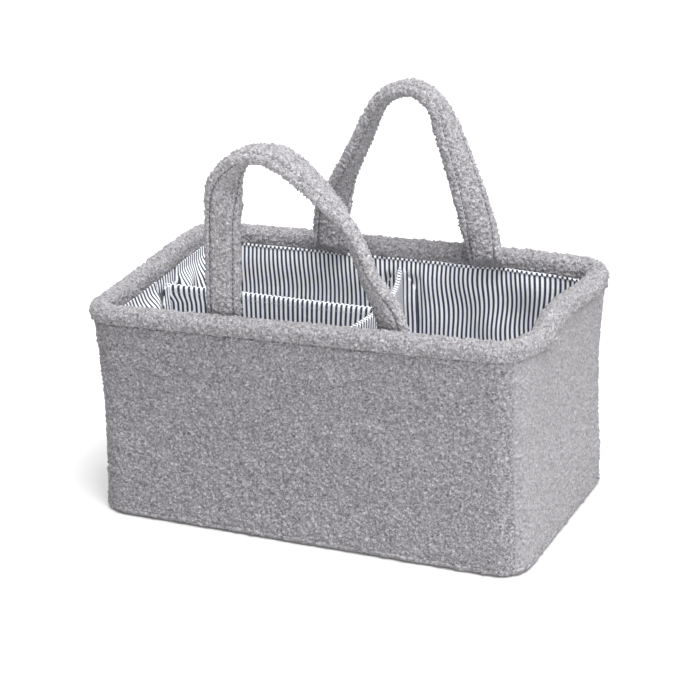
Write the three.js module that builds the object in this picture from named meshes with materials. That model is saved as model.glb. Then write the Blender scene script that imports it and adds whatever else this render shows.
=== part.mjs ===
// Soft storage caddy: padded walls in curly pile cloth, a striped lining, a folded rim band,
// two strap handles and a T-shaped divider that is held by hook-and-loop tapes.
// Millimetres, +Z up. The origin is the middle of the underside, X runs along the basket.
import * as THREE from "three";

// Driving dimensions of the box.
const LENGTH = 380; // outside, at the base
const WIDTH = 218; // outside, at the base
const RIM_HEIGHT = 197; // top of the rim band
const CORNER_RADIUS = 26; // outside corner, seen from above
const WAIST = 4.5; // how far the walls draw in at mid height
const SEAM_GAP = 0.3; // between pieces that lie against each other

// Layers of a wall and of the floor, from outside to inside.
const PILE_THICKNESS = 5; // backing cloth and pile
const WALL_FOAM_THICKNESS = 5;
const LINING_THICKNESS = 1.2;
const BASE_BOARD_THICKNESS = 2.5;
const BASE_FOAM_THICKNESS = 4;
const BASE_EDGE_ROUND = 2.5; // rounding of the underside's edge
const ROUND_MIDDLE = 0.3; // how far in and up the middle of that rounding lies, of its size

// Rim band, folded over the top of the wall.
const BAND_HEIGHT = 19; // from its stitched edges to its top
const BAND_PROUD_OUTSIDE = 1.2; // beyond the outside cloth
const BAND_PROUD_INSIDE = 4.8; // beyond the lining
const BAND_EDGE_ROUND = 1.8; // rounding of its two stitched edges
const FOAM_INTO_BAND = 10; // how far the wall foam reaches up into the band

// Strap handles.
const STRAP_WIDTH = 31;
const STRAP_THICKNESS = 12.5;
const STRAP_ROUND = 4.5; // rounding of the strap's edges
const CORE_WIDTH = 21; // webbing inside the strap
const CORE_THICKNESS = 4;
const CORE_ROUND = 1.2;
const FOLD_CLEARANCE = 1; // between the rim and a handle that is folded out over it
const SEWN_END_DROP = 6; // how far a strap end reaches below the band
const SEWN_END_THICKNESS = 5; // the flattened end that is stitched down
const FRONT_ENDS = [-70, 78]; // middle of each strap end, along the front wall
const FRONT_RISE = 112.7; // of the arch's middle line, from where the handle folds
const BACK_ENDS = [-56, 90];
const BACK_RISE = 126.7;

// The arches from the left end to the right one: a point's share of the way across, its share
// of the rise, and the strap's turn there in degrees, 0 with its face to the front. The front
// strap turns back on its way down, and the back one goes on turning.
const FRONT_ARCH = [
  [0.002, 0.275, 0], [0.018, 0.521, 16], [0.054, 0.783, 46], [0.168, 0.946, 72], [0.302, 1, 92],
  [0.453, 0.903, 97], [0.639, 0.69, 80], [0.77, 0.48, 60], [0.885, 0.2, 34], [1, 0, 0],
];
const BACK_ARCH = [
  [0.036, 0.136, 22], [0.093, 0.313, 66], [0.226, 0.611, 82], [0.387, 0.933, 90], [0.572, 1, 88],
  [0.716, 0.913, 90], [0.784, 0.736, 104], [0.882, 0.41, 122], [0.951, 0.144, 148], [1, 0, 180],
];
const ARCH_STEPS = 30; // facets along an arch

// T-shaped divider.
const DIVIDER_HEIGHT = 157; // of its cover
const DIVIDER_THICKNESS = 5;
const DIVIDER_CLOTH = 1; // thickness of the cover's cloth
const DIVIDER_BOARD_INSET = 1; // from the ends of a cover to its board
const CROSS_DIVIDER_X = 10; // where the cross divider's ends meet the long walls
const CROSS_DIVIDER_BOW = 15; // how far the middle of its top edge bends to the right
const LONG_DIVIDER_Y = 5;
const FLANGE_WIDTH = 29;
const FLANGE_HEIGHT = 146;
const FLANGE_THICKNESS = 1.4;
const FLANGE_FOOT = 6; // from the floor of the basket to a flange
const FLANGE_ROUND = 4;

// Hook-and-loop tapes.
const TAPE_WIDTH = 25;
const TAPE_HEIGHT = 126;
const TAPE_FOOT = 16; // from the floor of the basket to a tape
const LOOP_TAPE_THICKNESS = 1.5;
const HOOK_TAPE_THICKNESS = 1.2;

// Facets.
const CORNER_STEPS = 3; // in half a corner
const WALL_ROWS = 8; // up a wall
const BAND_STEPS = 6; // over the top of the band
const TAPE_ROWS = 4;
const DIVIDER_ROWS = 5;
const DIVIDER_STEPS = 4; // along half a divider
const ROUND_STEPS = 2; // in a strap's rounded edge
const SEWN_END_STEPS = 4; // over the top of a stitched end
const PLATE_ROUND_STEPS = 3; // in a corner of a tab or a tape
const SMALLEST_FACET = 1e-6; // twice a facet's area

// Heights that follow from the sizes above.
const BAND_BOTTOM = RIM_HEIGHT - BAND_HEIGHT;
const BOARD_BOTTOM = PILE_THICKNESS + SEAM_GAP;
const BASE_FOAM_BOTTOM = BOARD_BOTTOM + BASE_BOARD_THICKNESS + SEAM_GAP;
const LINING_BOTTOM = BASE_FOAM_BOTTOM + BASE_FOAM_THICKNESS + SEAM_GAP;
const FLOOR = LINING_BOTTOM + LINING_THICKNESS;
const FOLD_HEIGHT = RIM_HEIGHT + FOLD_CLEARANCE + STRAP_THICKNESS / 2;
const ARCH_BOTTOM = STRAP_THICKNESS / 2 + SEAM_GAP; // above the fold
const DIVIDER_BOTTOM = FLOOR + SEAM_GAP;
const DIVIDER_TOP = DIVIDER_BOTTOM + DIVIDER_HEIGHT;

// Depths, measured inwards from the outside cloth.
const FOAM_DEPTH = PILE_THICKNESS + SEAM_GAP;
const LINING_DEPTH = FOAM_DEPTH + WALL_FOAM_THICKNESS + SEAM_GAP;
const INSIDE_DEPTH = LINING_DEPTH + LINING_THICKNESS;
const BAND_DEPTH = INSIDE_DEPTH + BAND_PROUD_INSIDE;
const LOOP_TAPE_DEPTH = INSIDE_DEPTH + SEAM_GAP;
const HOOK_TAPE_DEPTH = LOOP_TAPE_DEPTH + LOOP_TAPE_THICKNESS + WAIST + SEAM_GAP;
const FLANGE_DEPTH = HOOK_TAPE_DEPTH + HOOK_TAPE_THICKNESS + SEAM_GAP;
const DIVIDER_DEPTH = FLANGE_DEPTH + FLANGE_THICKNESS + SEAM_GAP;
const STRAP_DEPTH = BAND_DEPTH + drawnIn(BAND_BOTTOM) + SEAM_GAP;
const STRAP_Y = WIDTH / 2 - STRAP_DEPTH - STRAP_THICKNESS / 2;

const PILE = new THREE.MeshStandardMaterial({ color: 0xa3a1a5, roughness: 0.95, metalness: 0 });
const STRIPE = new THREE.MeshStandardMaterial({ color: 0x9a9ca6, roughness: 0.85, metalness: 0 });
const FOAM = new THREE.MeshStandardMaterial({ color: 0xe6e4de, roughness: 0.9, metalness: 0 });
const BOARD = new THREE.MeshStandardMaterial({ color: 0xcfc9bd, roughness: 0.7, metalness: 0 });
const TAPE = new THREE.MeshStandardMaterial({ color: 0xd9d9dc, roughness: 0.8, metalness: 0 });

const basket = new THREE.Group();

function addPiece(name, geometry, material, group = basket) {
  const mesh = new THREE.Mesh(geometry, material);
  mesh.name = name;
  group.add(mesh);
}

// How far the walls are drawn in at a height: not at the base and the rim, most halfway up.
function drawnIn(height) {
  const share = Math.min(Math.max(height / RIM_HEIGHT, 0), 1);
  return WAIST * Math.sin(Math.PI * share);
}

// A row of steps + 1 even values.
function evenly(from, to, steps) {
  return Array.from({ length: steps + 1 }, (_, step) => from + ((to - from) * step) / steps);
}

// A closed mesh from points and triangles of their indices, with its faces turned outwards.
function closedMesh(points, triangles) {
  const cross = new THREE.Vector3();
  const volume = triangles.reduce((sum, [a, b, c]) => {
    return sum + points[a].dot(cross.crossVectors(points[b], points[c]));
  }, 0);
  const index = triangles.flatMap(([a, b, c]) => (volume > 0 ? [a, b, c] : [a, c, b]));
  const geometry = new THREE.BufferGeometry();
  geometry.setAttribute("position", new THREE.Float32BufferAttribute(points.flatMap((p) => [...p]), 3));
  geometry.setIndex(index);
  geometry.computeVertexNormals();
  return geometry;
}

// Triangles that fill a flat outline, with the shortest cuts between its points, so that none of
// them is a sliver along one side. Each is a row of three indices and turns the outline's way.
function outlineTriangles(outline) {
  const points = outline.map(([u, v]) => new THREE.Vector2(u, v));
  const turn = THREE.ShapeUtils.isClockWise(points) ? -1 : 1;
  const cut = (i, j) => (j - i > 1 ? points[i].distanceTo(points[j]) : 0);
  const cost = points.map((_, i) => ({ [i + 1]: 0 }));
  const corner = points.map(() => ({}));
  for (let span = 2; span < points.length; span += 1) {
    for (let i = 0; i + span < points.length; i += 1) {
      const j = i + span;
      cost[i][j] = Infinity;
      for (let k = i + 1; k < j; k += 1) {
        const [a, b] = [points[k].clone().sub(points[i]), points[j].clone().sub(points[i])];
        const total = cost[i][k] + cost[k][j] + cut(i, k) + cut(k, j);
        if (turn * a.cross(b) > SMALLEST_FACET && total < cost[i][j]) {
          cost[i][j] = total;
          corner[i][j] = k;
        }
      }
    }
  }
  const between = (i, j) => {
    const k = corner[i][j];
    return j - i < 2 ? [] : [[i, k, j], ...between(i, k), ...between(k, j)];
  };
  return between(0, points.length - 1);
}

// A solid through a row of rings. Each facet is cut along its shorter diagonal, so that faces
// that lie against each other match. The two ends are filled in the way that the flat outline
// is, or the last ring joins the first one where the row goes all the way round.
function ringSolid(rings, outline, goesRound = false) {
  const count = outline.length;
  const points = rings.flat();
  const triangles = [];
  const spans = goesRound ? rings.length : rings.length - 1;
  for (let row = 0; row < spans; row += 1) {
    const here = row * count;
    const next = ((row + 1) % rings.length) * count;
    for (let i = 0; i < count; i += 1) {
      const [a, b] = [here + i, next + i];
      const [c, d] = [next + ((i + 1) % count), here + ((i + 1) % count)];
      if (points[a].distanceTo(points[c]) <= points[b].distanceTo(points[d])) {
        triangles.push([a, b, c], [a, c, d]);
      } else {
        triangles.push([a, b, d], [b, c, d]);
      }
    }
  }
  if (!goesRound) {
    const end = (rings.length - 1) * count;
    for (const [a, b, c] of outlineTriangles(outline)) {
      triangles.push([a, b, c], [end + a, end + c, end + b]);
    }
  }
  return closedMesh(points, triangles);
}

// A station is a place on the plan's corner lines, with the way straight out of the basket there.
// Walls are counted in quarter turns: 0 front, 1 right, 2 back, 3 left.
function station(wall, along, angle = 0) {
  const reach = (wall % 2 === 0 ? WIDTH : LENGTH) / 2 - CORNER_RADIUS;
  const turn = new THREE.Matrix4().makeRotationZ((wall * Math.PI) / 2);
  return {
    centre: new THREE.Vector3(along, -reach, 0).applyMatrix4(turn),
    way: new THREE.Vector3(Math.sin(angle), -Math.cos(angle), 0).applyMatrix4(turn),
  };
}

function wallHalf(wall) {
  return (wall % 2 === 0 ? LENGTH : WIDTH) / 2 - CORNER_RADIUS;
}

// The stations of a whole wall, from the middle of one corner to the middle of the next.
function wallStations(wall, gap) {
  const turn = Math.PI / 4 - gap / 2 / CORNER_RADIUS;
  return [
    ...evenly(-turn, 0, CORNER_STEPS).map((angle) => station(wall, -wallHalf(wall), angle)),
    ...evenly(0, turn, CORNER_STEPS).map((angle) => station(wall, wallHalf(wall), angle)),
  ];
}

// Where a station's wall has a depth and a height.
function wallPoint({ centre, way }, depth, height) {
  const point = centre.clone().addScaledVector(way, CORNER_RADIUS - depth - drawnIn(height));
  return point.setZ(height);
}

// A layer of the walls: its section of depths and heights runs along the stations.
function wallLayer(stations, section, goesRound = false) {
  const rings = stations.map((place) => {
    return section.map(([depth, height]) => wallPoint(place, depth, height));
  });
  return ringSolid(rings, section, goesRound);
}

function layerSection(depth, thickness, bottom, top, rows) {
  const heights = evenly(bottom, top, rows);
  return [
    ...heights.map((height) => [depth, height]),
    ...heights.reverse().map((height) => [depth + thickness, height]),
  ];
}

// A flat layer of the floor: outlines at each depth and height, one above the other.
function floorLayer(levels) {
  const plan = [0, 1, 2, 3].flatMap((wall) => wallStations(wall, SEAM_GAP));
  const rings = levels.map(([depth, height]) => plan.map((place) => wallPoint(place, depth, height)));
  return ringSolid(rings, rings[0].map((point) => [point.x, point.y]));
}

// The outline of a strap across its width, with rounded edges.
function strapOutline(width, thickness, round) {
  const outline = [];
  for (let corner = 0; corner < 4; corner += 1) {
    const right = corner === 0 || corner === 3 ? 1 : -1;
    const up = corner < 2 ? 1 : -1;
    for (const angle of evenly((corner * Math.PI) / 2, ((corner + 1) * Math.PI) / 2, ROUND_STEPS)) {
      const u = right * (width / 2 - round) + round * Math.cos(angle);
      const v = up * (thickness / 2 - round) + round * Math.sin(angle);
      outline.push([u, v]);
    }
  }
  return outline;
}

// Outside cloth, foam and lining of the four walls.
const WALLS = ["front", "right", "back", "left"];
const LINING_SECTION = layerSection(
  LINING_DEPTH, LINING_THICKNESS, FLOOR + SEAM_GAP, BAND_BOTTOM - SEAM_GAP, WALL_ROWS,
);
const OUTSIDE_SECTION = layerSection(
  0, PILE_THICKNESS, PILE_THICKNESS + SEAM_GAP, BAND_BOTTOM - SEAM_GAP, WALL_ROWS,
);
const FOAM_SECTION = layerSection(
  FOAM_DEPTH, WALL_FOAM_THICKNESS, BASE_FOAM_BOTTOM, BAND_BOTTOM + FOAM_INTO_BAND, WALL_ROWS,
);

WALLS.forEach((name, wall) => {
  const whole = wallStations(wall, SEAM_GAP);
  const flat = [station(wall, -wallHalf(wall)), station(wall, wallHalf(wall))];
  addPiece(`outside_${name}`, wallLayer(whole, OUTSIDE_SECTION), PILE);
  addPiece(`foam_${name}`, wallLayer(flat, FOAM_SECTION), FOAM);
  addPiece(`lining_${name}`, wallLayer(whole, LINING_SECTION), STRIPE);
});

// Floor: outside cloth, stiff board, foam and lining. The cloth carries the walls on its edge.
function addFloor() {
  const inset = BASE_EDGE_ROUND;
  const bend = inset * ROUND_MIDDLE;
  const cloth = [[inset, 0], [bend, bend], [0, inset], [0, PILE_THICKNESS]];
  const flat = (depth, bottom, thickness) => [[depth, bottom], [depth, bottom + thickness]];
  addPiece("outside_base", floorLayer(cloth), PILE);
  addPiece("base_board", floorLayer(flat(FOAM_DEPTH, BOARD_BOTTOM, BASE_BOARD_THICKNESS)), BOARD);
  addPiece("base_foam", floorLayer(flat(LINING_DEPTH, BASE_FOAM_BOTTOM, BASE_FOAM_THICKNESS)), FOAM);
  addPiece("lining_base", floorLayer(flat(LINING_DEPTH, LINING_BOTTOM, LINING_THICKNESS)), STRIPE);
}

// Rim band: one strip of pile cloth, folded over the top of the wall and stitched on both sides.
function addRimBand() {
  const outside = -BAND_PROUD_OUTSIDE;
  const middle = (outside + BAND_DEPTH) / 2;
  const half = (BAND_DEPTH - outside) / 2;
  const shoulder = RIM_HEIGHT - half;
  const slotTop = BAND_BOTTOM + FOAM_INTO_BAND + SEAM_GAP;
  const over = evenly(Math.PI, 0, BAND_STEPS).map((angle) => {
    return [middle + half * Math.cos(angle), shoulder + half * Math.sin(angle)];
  });
  const section = [
    [outside + BAND_EDGE_ROUND, BAND_BOTTOM],
    [outside, BAND_BOTTOM + BAND_EDGE_ROUND],
    ...over,
    [BAND_DEPTH, BAND_BOTTOM + BAND_EDGE_ROUND],
    [BAND_DEPTH - BAND_EDGE_ROUND, BAND_BOTTOM],
    [LINING_DEPTH, BAND_BOTTOM],
    [LINING_DEPTH, slotTop],
    [PILE_THICKNESS, slotTop],
    [PILE_THICKNESS, BAND_BOTTOM],
  ];
  const round = WALLS.flatMap((_, wall) => wallStations(wall, SEAM_GAP));
  addPiece("rim_band", wallLayer(round, section, true), PILE);
}

// A handle's group stands on its fold line, and its arch rises from there.
function handleGroup(side) {
  const group = new THREE.Group();
  group.position.set(0, side * STRAP_Y, FOLD_HEIGHT);
  basket.add(group);
  return group;
}

// A strap ring: the outline across the strap, turned about its length.
function strapRing(outline, middle, along, turn) {
  const sideways = new THREE.Vector3(along.z, 0, -along.x);
  const away = new THREE.Vector3(0, 1, 0);
  const wide = sideways.clone().multiplyScalar(Math.cos(turn)).addScaledVector(away, Math.sin(turn));
  const thick = away.clone().multiplyScalar(Math.cos(turn)).addScaledVector(sideways, -Math.sin(turn));
  return outline.map(([u, v]) => middle.clone().addScaledVector(wide, u).addScaledVector(thick, v));
}

function archRings(outline, ends, rise, arch) {
  const all = [[0, 0, 0], ...arch];
  const points = all.map(([share, height]) => {
    return new THREE.Vector3(ends[0] + (ends[1] - ends[0]) * share, 0, ARCH_BOTTOM + rise * height);
  });
  const line = new THREE.CatmullRomCurve3(points);
  return evenly(0, 1, ARCH_STEPS).map((t, step) => {
    const place = t * (all.length - 1);
    const before = Math.min(Math.floor(place), all.length - 2);
    const turn = THREE.MathUtils.lerp(all[before][2], all[before + 1][2], place - before);
    const along = line.getTangent(t);
    if (step === 0 || step === ARCH_STEPS) {
      along.set(0, 0, step === 0 ? 1 : -1);
    }
    return strapRing(outline, line.getPoint(t), along, THREE.MathUtils.degToRad(turn));
  });
}

// The end of a strap: stitched flat below the band, then full and rounded on top at the fold.
function sewnEnd(side, x) {
  const y = (depth) => side * (WIDTH / 2 - depth - STRAP_Y);
  const sewnHeight = BAND_BOTTOM - SEWN_END_DROP;
  const sewnDepth = INSIDE_DEPTH + drawnIn(sewnHeight) + SEAM_GAP;
  const full = { outer: STRAP_DEPTH, inner: STRAP_DEPTH + STRAP_THICKNESS };
  const levels = [
    { outer: sewnDepth, inner: sewnDepth + SEWN_END_THICKNESS, height: sewnHeight },
    { ...full, inner: STRAP_DEPTH + SEWN_END_THICKNESS, height: BAND_BOTTOM + SEAM_GAP },
    { ...full, height: BAND_BOTTOM + BAND_HEIGHT / 2 },
    { ...full, height: FOLD_HEIGHT },
  ];
  const radius = STRAP_THICKNESS / 2;
  for (const angle of evenly(0, Math.PI / 2, SEWN_END_STEPS).slice(1, -1)) {
    const trim = radius * (1 - Math.cos(angle));
    const height = FOLD_HEIGHT + radius * Math.sin(angle);
    levels.push({ outer: full.outer + trim, inner: full.inner - trim, height });
  }
  const outline = strapOutline(STRAP_WIDTH, STRAP_THICKNESS, STRAP_ROUND);
  const rings = levels.map(({ outer, inner, height }) => {
    const middle = new THREE.Vector3(x, y((outer + inner) / 2), height - FOLD_HEIGHT);
    return outline.map(([u, v]) => {
      return middle.clone().add(new THREE.Vector3(u, (v * (inner - outer)) / STRAP_THICKNESS, 0));
    });
  });
  return ringSolid(rings, outline);
}

// Handle: a tube of pile cloth with webbing inside, between two stitched ends.
function addHandle(name, side, ends, rise, arch) {
  const group = handleGroup(side);
  const gaps = 2 * SEAM_GAP;
  const bore = strapOutline(CORE_WIDTH + gaps, CORE_THICKNESS + gaps, CORE_ROUND + SEAM_GAP);
  const skin = archRings(strapOutline(STRAP_WIDTH, STRAP_THICKNESS, STRAP_ROUND), ends, rise, arch);
  const hollow = archRings(bore, ends, rise, arch).reverse();
  const webbing = strapOutline(CORE_WIDTH, CORE_THICKNESS, CORE_ROUND);
  const core = ringSolid(archRings(webbing, ends, rise, arch), webbing);
  addPiece(`${name}_handle_cover`, ringSolid([...skin, ...hollow], bore, true), PILE, group);
  addPiece(`${name}_handle_webbing`, core, TAPE, group);
  addPiece(`${name}_handle_end_left`, sewnEnd(side, ends[0]), PILE, group);
  addPiece(`${name}_handle_end_right`, sewnEnd(side, ends[1]), PILE, group);
}

// How far the cross divider bends to the right: most in the middle of its top edge.
function crossBow(y, height) {
  const half = WIDTH / 2 - DIVIDER_DEPTH;
  const up = Math.max(height - DIVIDER_BOTTOM, 0) / DIVIDER_HEIGHT;
  return CROSS_DIVIDER_BOW * Math.max(1 - (y / half) ** 2, 0) * up;
}

// A divider's cover is a sleeve round its board, open at the foot.
function sleeveSection() {
  const half = DIVIDER_THICKNESS / 2;
  const inner = half - DIVIDER_CLOTH;
  const shoulder = DIVIDER_TOP - half;
  const up = evenly(DIVIDER_BOTTOM, shoulder, DIVIDER_ROWS);
  const down = [...up].reverse();
  return [
    ...up.map((height) => [-half, height]),
    [-half / 2, DIVIDER_TOP],
    [half / 2, DIVIDER_TOP],
    ...down.map((height) => [half, height]),
    ...up.map((height) => [inner, height]),
    ...down.map((height) => [-inner, height]),
  ];
}

// The board has the same facets as its sleeve, so that it lies inside it all the way.
function boardSection() {
  const half = DIVIDER_THICKNESS / 2 - DIVIDER_CLOTH - SEAM_GAP;
  const top = DIVIDER_TOP - DIVIDER_THICKNESS / 2;
  const up = evenly(DIVIDER_BOTTOM, top, DIVIDER_ROWS);
  up[DIVIDER_ROWS] = top - SEAM_GAP;
  const down = [...up].reverse();
  return [...up.map((height) => [-half, height]), ...down.map((height) => [half, height])];
}

// The cross divider is flat where the long one meets it.
function crossDividerSolid(section, inset) {
  const end = WIDTH / 2 - DIVIDER_DEPTH;
  const places = [
    ...evenly(-end, LONG_DIVIDER_Y - DIVIDER_THICKNESS / 2, DIVIDER_STEPS),
    ...evenly(LONG_DIVIDER_Y + DIVIDER_THICKNESS / 2, end, DIVIDER_STEPS),
  ];
  const rings = places.map((place) => {
    const y = Math.min(Math.max(place, inset - end), end - inset);
    return section.map(([offset, height]) => {
      return new THREE.Vector3(CROSS_DIVIDER_X + crossBow(y, height) + offset, y, height);
    });
  });
  return ringSolid(rings, section);
}

function longDividerSolid(section, inset) {
  const left = -LENGTH / 2 + DIVIDER_DEPTH + inset;
  const rings = evenly(0, 1, 2 * DIVIDER_STEPS).map((share) => {
    return section.map(([offset, height]) => {
      const meets = CROSS_DIVIDER_X + crossBow(LONG_DIVIDER_Y, height) - DIVIDER_THICKNESS / 2;
      const right = meets - SEAM_GAP - inset;
      return new THREE.Vector3(left + (right - left) * share, LONG_DIVIDER_Y + offset, height);
    });
  });
  return ringSolid(rings, section);
}

function addDividers() {
  const inset = DIVIDER_BOARD_INSET;
  addPiece("cross_divider_cover", crossDividerSolid(sleeveSection(), 0), STRIPE);
  addPiece("cross_divider_board", crossDividerSolid(boardSection(), inset), BOARD);
  addPiece("long_divider_cover", longDividerSolid(sleeveSection(), 0), STRIPE);
  addPiece("long_divider_board", longDividerSolid(boardSection(), inset), BOARD);
}

// A flat tab or tape that stands against a wall, its outer face at a depth.
function standingPlate(wall, along, depth, [width, height, thickness], foot, round) {
  const outline = new THREE.Shape();
  const x = width / 2;
  outline.moveTo(-x + round, 0);
  outline.lineTo(x - round, 0);
  outline.absarc(x - round, round, round, -Math.PI / 2, 0);
  outline.absarc(x - round, height - round, round, 0, Math.PI / 2);
  outline.absarc(-x + round, height - round, round, Math.PI / 2, Math.PI);
  outline.absarc(-x + round, round, round, Math.PI, 1.5 * Math.PI);
  const settings = { depth: thickness, bevelEnabled: false, curveSegments: PLATE_ROUND_STEPS };
  const geometry = new THREE.ExtrudeGeometry(outline, settings);
  const outer = (wall % 2 === 0 ? WIDTH : LENGTH) / 2 - depth;
  geometry.rotateX(Math.PI / 2);
  geometry.translate(along, -outer + thickness, foot);
  geometry.rotateZ((wall * Math.PI) / 2);
  return geometry;
}

// The divider's three ends: a cloth flange with hook tape, and loop tape on the lining behind it.
function addDividerEnd(name, divider, wall, along) {
  const flange = [FLANGE_WIDTH, FLANGE_HEIGHT, FLANGE_THICKNESS];
  const hook = [TAPE_WIDTH, TAPE_HEIGHT, HOOK_TAPE_THICKNESS];
  const half = TAPE_WIDTH / 2;
  const loop = layerSection(
    LOOP_TAPE_DEPTH, LOOP_TAPE_THICKNESS, FLOOR + TAPE_FOOT, FLOOR + TAPE_FOOT + TAPE_HEIGHT, TAPE_ROWS,
  );
  const flangeSolid = standingPlate(wall, along, FLANGE_DEPTH, flange, FLOOR + FLANGE_FOOT, FLANGE_ROUND);
  const hookSolid = standingPlate(wall, along, HOOK_TAPE_DEPTH, hook, FLOOR + TAPE_FOOT, SEAM_GAP);
  const loopSolid = wallLayer([station(wall, along - half), station(wall, along + half)], loop);
  addPiece(`${divider}_flange_${name}`, flangeSolid, STRIPE);
  addPiece(`hook_tape_${name}`, hookSolid, TAPE);
  addPiece(`loop_tape_${name}`, loopSolid, TAPE);
}

addFloor();
addRimBand();
addHandle("front", -1, FRONT_ENDS, FRONT_RISE, FRONT_ARCH);
addHandle("back", 1, BACK_ENDS, BACK_RISE, BACK_ARCH);
addDividers();
addDividerEnd("front", "cross_divider", 0, CROSS_DIVIDER_X);
addDividerEnd("back", "cross_divider", 2, -CROSS_DIVIDER_X);
addDividerEnd("left", "long_divider", 3, -LONG_DIVIDER_Y);

export default basket;
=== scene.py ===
# Soft storage caddy: padded walls in curly pile cloth, a striped lining, a folded rim band,
# two strap handles and a T-shaped divider that is held by hook-and-loop tapes.
# Metres, +Z up. X runs along the long walls and -Y is the front.
import math

import bmesh
import bpy
import numpy as np
from mathutils import Matrix, Vector


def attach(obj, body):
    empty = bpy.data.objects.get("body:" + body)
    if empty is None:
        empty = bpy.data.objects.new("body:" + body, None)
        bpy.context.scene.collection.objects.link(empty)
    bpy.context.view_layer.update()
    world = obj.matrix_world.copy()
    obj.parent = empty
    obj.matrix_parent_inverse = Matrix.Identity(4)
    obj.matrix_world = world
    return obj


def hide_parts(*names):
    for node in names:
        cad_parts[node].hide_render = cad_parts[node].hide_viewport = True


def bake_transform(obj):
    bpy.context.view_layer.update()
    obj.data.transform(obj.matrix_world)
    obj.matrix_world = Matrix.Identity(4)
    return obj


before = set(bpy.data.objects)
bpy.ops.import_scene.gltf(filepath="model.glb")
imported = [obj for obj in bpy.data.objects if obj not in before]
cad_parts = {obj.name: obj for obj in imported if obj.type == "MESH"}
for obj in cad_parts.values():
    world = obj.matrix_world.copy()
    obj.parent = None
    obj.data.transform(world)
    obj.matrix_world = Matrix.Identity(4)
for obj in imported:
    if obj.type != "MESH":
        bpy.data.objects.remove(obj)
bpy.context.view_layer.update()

# Outside cloth. Four panels of curly pile cloth are sewn to each other at the corners, to the
# base cloth below and to the rim band above. The walls draw in a little at mid height, the end
# walls lean out, and the front wall's top hangs lower than the back one's, most at its left end.
LENGTH = 0.380
WIDTH = 0.218
RIM_HEIGHT = 0.197
CORNER_RADIUS = 0.026
WAIST = 0.0045  # how far the walls draw in at mid height
PILE_THICKNESS = 0.005
BAND_HEIGHT = 0.0155
BAND_BOTTOM = RIM_HEIGHT - BAND_HEIGHT
FRONT_SAG = (0.0105, 0.0005)  # of the front wall's top, at its left and right end
BACK_RISE = (0.0016, 0.0052)  # of the back wall's top, likewise
RIM_DIPS = ((0.066, 0.040, 0.0079), (-0.049, 0.023, 0.0061))  # on the right wall: y, reach and depth
END_BOWS = ((-0.058, 0.030, 0.0028, 2), (0.105, 0.030, 0.0045, 8))  # there too, and how steeply it grows
END_SPREAD = 0.0050  # how far the soft end walls lean out
PILE_SPACING = 0.0009  # of the mesh, which carries the curls
WALL_WAVE = 0.0009  # slow unevenness of the stuffed walls
WALLS = ("front", "right", "back", "left")
WALL_TURNS = ((1, 0), (0, 1), (-1, 0), (0, -1))  # cosine and sine of each wall's place round the basket


def wall_half(wall):
    return (LENGTH, WIDTH)[wall % 2] / 2 - CORNER_RADIUS


def wall_stations(wall, spacing):
    """Even stations along a wall, from the middle of one corner to the middle of the next.

    Gives the corner circle's centre and the way out of the basket at each, and the arc so far.
    """
    quarter = math.pi / 4 * CORNER_RADIUS
    half = wall_half(wall)
    count = max(round(2 * (half + quarter) / spacing), 8)
    arc = np.linspace(-half - quarter, half + quarter, count + 1)
    bend = np.sign(arc) * np.clip(np.abs(arc) - half, 0, None) / CORNER_RADIUS
    along = np.clip(arc, -half, half)
    reach = (WIDTH, LENGTH)[wall % 2] / 2 - CORNER_RADIUS
    centre = np.stack([along, np.full_like(arc, -reach)], 1)
    way = np.stack([np.sin(bend), -np.cos(bend)], 1)
    c, s = WALL_TURNS[wall]
    turn = np.array([[c, -s], [s, c]])
    return centre @ turn.T, way @ turn.T, arc


def drawn_in(height):
    return WAIST * np.sin(np.pi * np.clip(height / RIM_HEIGHT, 0, 1))


def hump(value, middle, reach):
    """A smooth rise from 0 to 1 and back, highest at the middle."""
    return np.exp(-(((value - middle) / reach) ** 2))


def rim_lift(x, y):
    """How much higher than its level size the rim is at a place seen from above."""
    left = np.clip(0.5 - x / LENGTH, 0, 1)
    front = -(FRONT_SAG[1] + (FRONT_SAG[0] - FRONT_SAG[1]) * left)
    back = BACK_RISE[1] + (BACK_RISE[0] - BACK_RISE[1]) * left
    share = np.clip(0.5 + y / WIDTH, 0, 1)
    share = share * share * (3 - 2 * share)
    right_wall = np.clip((x - 0.12) / 0.06, 0, 1)
    dip = sum(depth * hump(y, middle, reach) for middle, reach, depth in RIM_DIPS)
    return front + (back - front) * share - dip * right_wall


def spread(x, y, z):
    """How far along the basket's length a place is carried by the lean of its end walls.

    The right one leans more towards its back, less at its foot, and bows in two places.
    """
    left = np.clip(-2 * x / LENGTH, 0, 1) ** 2
    right = np.clip(2 * x / LENGTH, 0, 1) ** 2
    behind = np.clip(0.5 + y / WIDTH, 0, 1)
    from_foot = 0.35 + 0.65 * np.clip(z / 0.035, 0, 1)
    up = np.clip(z / RIM_HEIGHT, 0, 1)
    bow = sum(most * hump(y, middle, reach) * up**power for middle, reach, most, power in END_BOWS)
    return END_SPREAD * (right * from_foot * (0.15 + 1.05 * behind) - left) + bow * right


def slow_wave(x, y, z):
    """Unevenness of a stuffed wall, in and out, from -1 to 1."""
    a = np.sin(23 * x + 17 * z + 1.3) * np.cos(31 * y - 19 * z + 0.4)
    b = np.sin(47 * x - 38 * z + 2.1) * np.cos(41 * y + 29 * z)
    return 0.6 * a + 0.4 * b


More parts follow.
